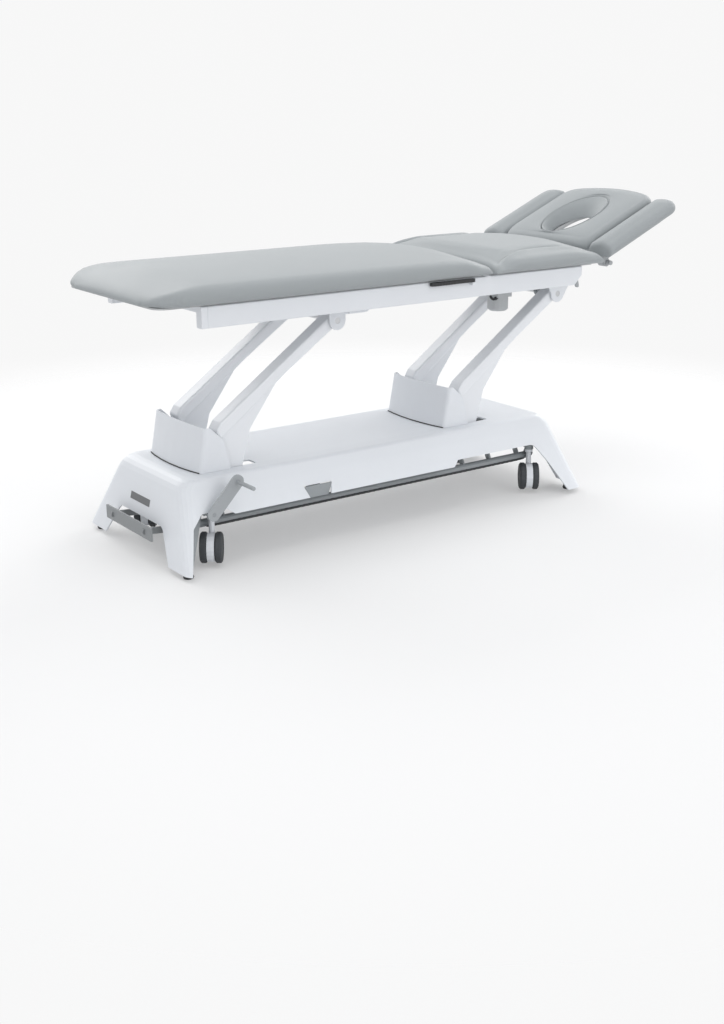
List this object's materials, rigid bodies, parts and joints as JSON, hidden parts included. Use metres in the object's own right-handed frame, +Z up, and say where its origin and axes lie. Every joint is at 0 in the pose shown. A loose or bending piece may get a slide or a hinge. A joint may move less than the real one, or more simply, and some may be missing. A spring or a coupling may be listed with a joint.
{
  "type": "treatment table",
  "caption": "Height-adjustable physiotherapy treatment table: lift arms on a castor base, tilting leg section, and a tilting head section with face hole and drop-down armrests.",
  "frame": {"origin": "on the floor, under the centre of the part's bounding box at rest", "axes": "+X along the table towards the head end, +Y towards the far side from the picture's camera, +Z up"},
  "size_m": [2.1302, 0.71, 1.0107],
  "materials": {
    "white_paint": "satin powder coat",
    "white_moulding": "fine satin moulding",
    "leatherette": "fine-grained leatherette over foam",
    "board": "faced board",
    "grey_paint": "satin grey paint",
    "bright_steel": "ground steel",
    "dark_plastic": "matt",
    "wheel_grey": "hard rubber tread"
  },
  "bodies": {
    "base": {"base_shell": "white_moulding", "blank_end_plate": "dark_plastic", "chassis": "grey_paint", "column_cover_left": "white_moulding", "column_cover_right": "white_moulding", "foot_left_near": "dark_plastic", "foot_left_far": "dark_plastic", "foot_right_near": "dark_plastic", "foot_right_far": "dark_plastic"},
    "arms_left": {"arm_left_near": "white_paint", "arm_left_far": "white_paint", "lower_shaft_left": "bright_steel"},
    "arms_right": {"arm_right_near": "white_paint", "arm_right_far": "white_paint", "lower_shaft_right": "bright_steel", "upper_shaft_right": "bright_steel", "lift_crank": "grey_paint"},
    "top": {"rail_near": "white_paint", "rail_far": "white_paint", "cross_member_foot": "white_paint", "cross_beam_left": "white_paint", "cross_beam_right": "white_paint", "cross_member_seam": "white_paint", "cross_member_middle": "white_paint", "upper_shaft_left": "bright_steel", "middle_board": "board", "middle_cushion": "leatherette", "control_box": "white_moulding", "lift_motor": "grey_paint", "lift_tube": "grey_paint", "gas_cylinder": "dark_plastic"},
    "leg_section": {"leg_cushion": "leatherette", "leg_board": "board", "leg_frame": "white_paint"},
    "gas_rod": {"gas_rod": "bright_steel"},
    "lift_rod": {"lift_rod": "bright_steel"},
    "head_section": {"head_cushion": "leatherette", "head_board": "board", "head_frame": "white_paint", "locking_quadrant": "grey_paint"},
    "wing_near": {"wing_cushion_near": "leatherette", "wing_arm_near": "white_paint"},
    "wing_far": {"wing_cushion_far": "leatherette", "wing_arm_far": "white_paint"},
    "head_latch": {"head_latch": "grey_paint"},
    "release_handle": {"release_handle": "dark_plastic"},
    "foot_bar_near": {"foot_bar_near": "grey_paint"},
    "foot_bar_far": {"foot_bar_far": "grey_paint"},
    "end_pedal": {"end_pedal": "grey_paint"},
    "castor_lever": {"castor_lever": "grey_paint"},
    "carrier_left": {"carrier_left": "grey_paint"},
    "carrier_right": {"carrier_right": "grey_paint"},
    "castor_left_near": {"castor_left_near": "white_moulding"},
    "wheels_left_near": {"wheels_left_near": "wheel_grey"},
    "castor_left_far": {"castor_left_far": "white_moulding"},
    "wheels_left_far": {"wheels_left_far": "wheel_grey"},
    "castor_right_near": {"castor_right_near": "white_moulding"},
    "wheels_right_near": {"wheels_right_near": "wheel_grey"},
    "castor_right_far": {"castor_right_far": "white_moulding"},
    "wheels_right_far": {"wheels_right_far": "wheel_grey"}
  },
  "joints": [
    {"name": "lift", "type": "hinge", "parent": "base", "child": "arms_left", "pos_m": [-0.71811, 0.011, 0.24], "axis": [0, -1, 0], "range_deg": [-37, 17.8]},
    {"name": "lift_right", "type": "hinge", "parent": "base", "child": "arms_right", "pos_m": [0.22689, 0.011, 0.24], "axis": [0, -1, 0], "range_deg": [-37, 17.8]},
    {"name": "top_level", "type": "hinge", "parent": "arms_left", "child": "top", "pos_m": [-0.33011, 0.011, 0.677], "axis": [0, -1, 0], "range_deg": [-17.8, 37]},
    {"name": "leg_tilt", "type": "hinge", "parent": "top", "child": "leg_section", "pos_m": [0.17189, 0.011, 0.776], "axis": [0, 1, 0], "range_deg": [0, 20]},
    {"name": "gas_rod_slide", "type": "slide", "parent": "top", "child": "gas_rod", "axis": [-1, 0, 0], "range_m": [0, 0.0245]},
    {"name": "lift_rod_slide", "type": "slide", "parent": "top", "child": "lift_rod", "axis": [-1, 0, 0], "range_m": [-0.03, 0.0145]},
    {"name": "head_tilt", "type": "hinge", "parent": "top", "child": "head_section", "pos_m": [0.68389, 0.011, 0.776], "axis": [0, -1, 0], "range_deg": [-93, 17]},
    {"name": "wing_near_drop", "type": "hinge", "parent": "head_section", "child": "wing_near", "pos_m": [0.72688, -0.254, 0.7899], "axis": [0, -1, 0], "range_deg": [-40, 0]},
    {"name": "wing_far_drop", "type": "hinge", "parent": "head_section", "child": "wing_far", "pos_m": [0.72688, 0.276, 0.7899], "axis": [0, -1, 0], "range_deg": [-40, 0]},
    {"name": "head_latch", "type": "hinge", "parent": "top", "child": "head_latch", "pos_m": [0.66989, -0.149, 0.733], "axis": [0, -1, 0], "range_deg": [0, 12], "stiffness_Nm_per_rad": 2},
    {"name": "release_handle", "type": "hinge", "parent": "top", "child": "release_handle", "pos_m": [0.09689, -0.294, 0.784], "axis": [0, 0, 1], "range_deg": [0, 12], "stiffness_Nm_per_rad": 3},
    {"name": "foot_bar_near", "type": "hinge", "parent": "base", "child": "foot_bar_near", "pos_m": [-0.18811, -0.139, 0.175], "axis": [1, 0, 0], "range_deg": [-4, 4], "stiffness_Nm_per_rad": 300},
    {"name": "foot_bar_far", "type": "hinge", "parent": "base", "child": "foot_bar_far", "pos_m": [-0.18811, 0.161, 0.175], "axis": [1, 0, 0], "range_deg": [-4, 4], "stiffness_Nm_per_rad": 300},
    {"name": "end_pedal", "type": "hinge", "parent": "base", "child": "end_pedal", "pos_m": [-0.88311, 0.011, 0.092], "axis": [0, 1, 0], "range_deg": [-6, 6], "stiffness_Nm_per_rad": 150},
    {"name": "castor_lever", "type": "hinge", "parent": "base", "child": "castor_lever", "pos_m": [-0.85811, -0.261, 0.172], "axis": [0, 1, 0], "range_deg": [0, 50]},
    {"name": "carrier_left_slide", "type": "slide", "parent": "base", "child": "carrier_left", "axis": [0, 0, -1], "range_m": [0, 0.0181]},
    {"name": "carrier_right_slide", "type": "slide", "parent": "base", "child": "carrier_right", "axis": [0, 0, -1], "range_m": [0, 0.0181]},
    {"name": "castor_left_near_swivel", "type": "hinge", "parent": "carrier_left", "child": "castor_left_near", "pos_m": [-0.83311, -0.201, 0.1], "axis": [0, 0, 1], "continuous": true},
    {"name": "wheels_left_near_spin", "type": "hinge", "parent": "castor_left_near", "child": "wheels_left_near", "pos_m": [-0.84487, -0.21718, 0.0555], "axis": [-0.809, 0.5878, 0], "continuous": true},
    {"name": "castor_left_far_swivel", "type": "hinge", "parent": "carrier_left", "child": "castor_left_far", "pos_m": [-0.83311, 0.223, 0.1], "axis": [0, 0, 1], "continuous": true},
    {"name": "wheels_left_far_spin", "type": "hinge", "parent": "castor_left_far", "child": "wheels_left_far", "pos_m": [-0.84487, 0.20682, 0.0555], "axis": [-0.809, 0.5878, 0], "continuous": true},
    {"name": "castor_right_near_swivel", "type": "hinge", "parent": "carrier_right", "child": "castor_right_near", "pos_m": [0.45689, -0.201, 0.1], "axis": [0, 0, 1], "continuous": true},
    {"name": "wheels_right_near_spin", "type": "hinge", "parent": "castor_right_near", "child": "wheels_right_near", "pos_m": [0.44513, -0.21718, 0.0555], "axis": [-0.809, 0.5878, 0], "continuous": true},
    {"name": "castor_right_far_swivel", "type": "hinge", "parent": "carrier_right", "child": "castor_right_far", "pos_m": [0.45689, 0.223, 0.1], "axis": [0, 0, 1], "continuous": true},
    {"name": "wheels_right_far_spin", "type": "hinge", "parent": "castor_right_far", "child": "wheels_right_far", "pos_m": [0.44513, 0.20682, 0.0555], "axis": [-0.809, 0.5878, 0], "continuous": true}
  ],
  "couplings": [
    {"joint": "lift_right", "follows": "lift", "ratio": 1},
    {"joint": "top_level", "follows": "lift", "ratio": -1},
    {"joint": "lift_rod_slide", "follows": "lift", "m_per_rad": 0.0462},
    {"joint": "gas_rod_slide", "follows": "leg_tilt", "m_per_rad": 0.0698},
    {"joint": "carrier_left_slide", "follows": "castor_lever", "m_per_rad": 0.020626},
    {"joint": "carrier_right_slide", "follows": "castor_lever", "m_per_rad": 0.020626}
  ]
}
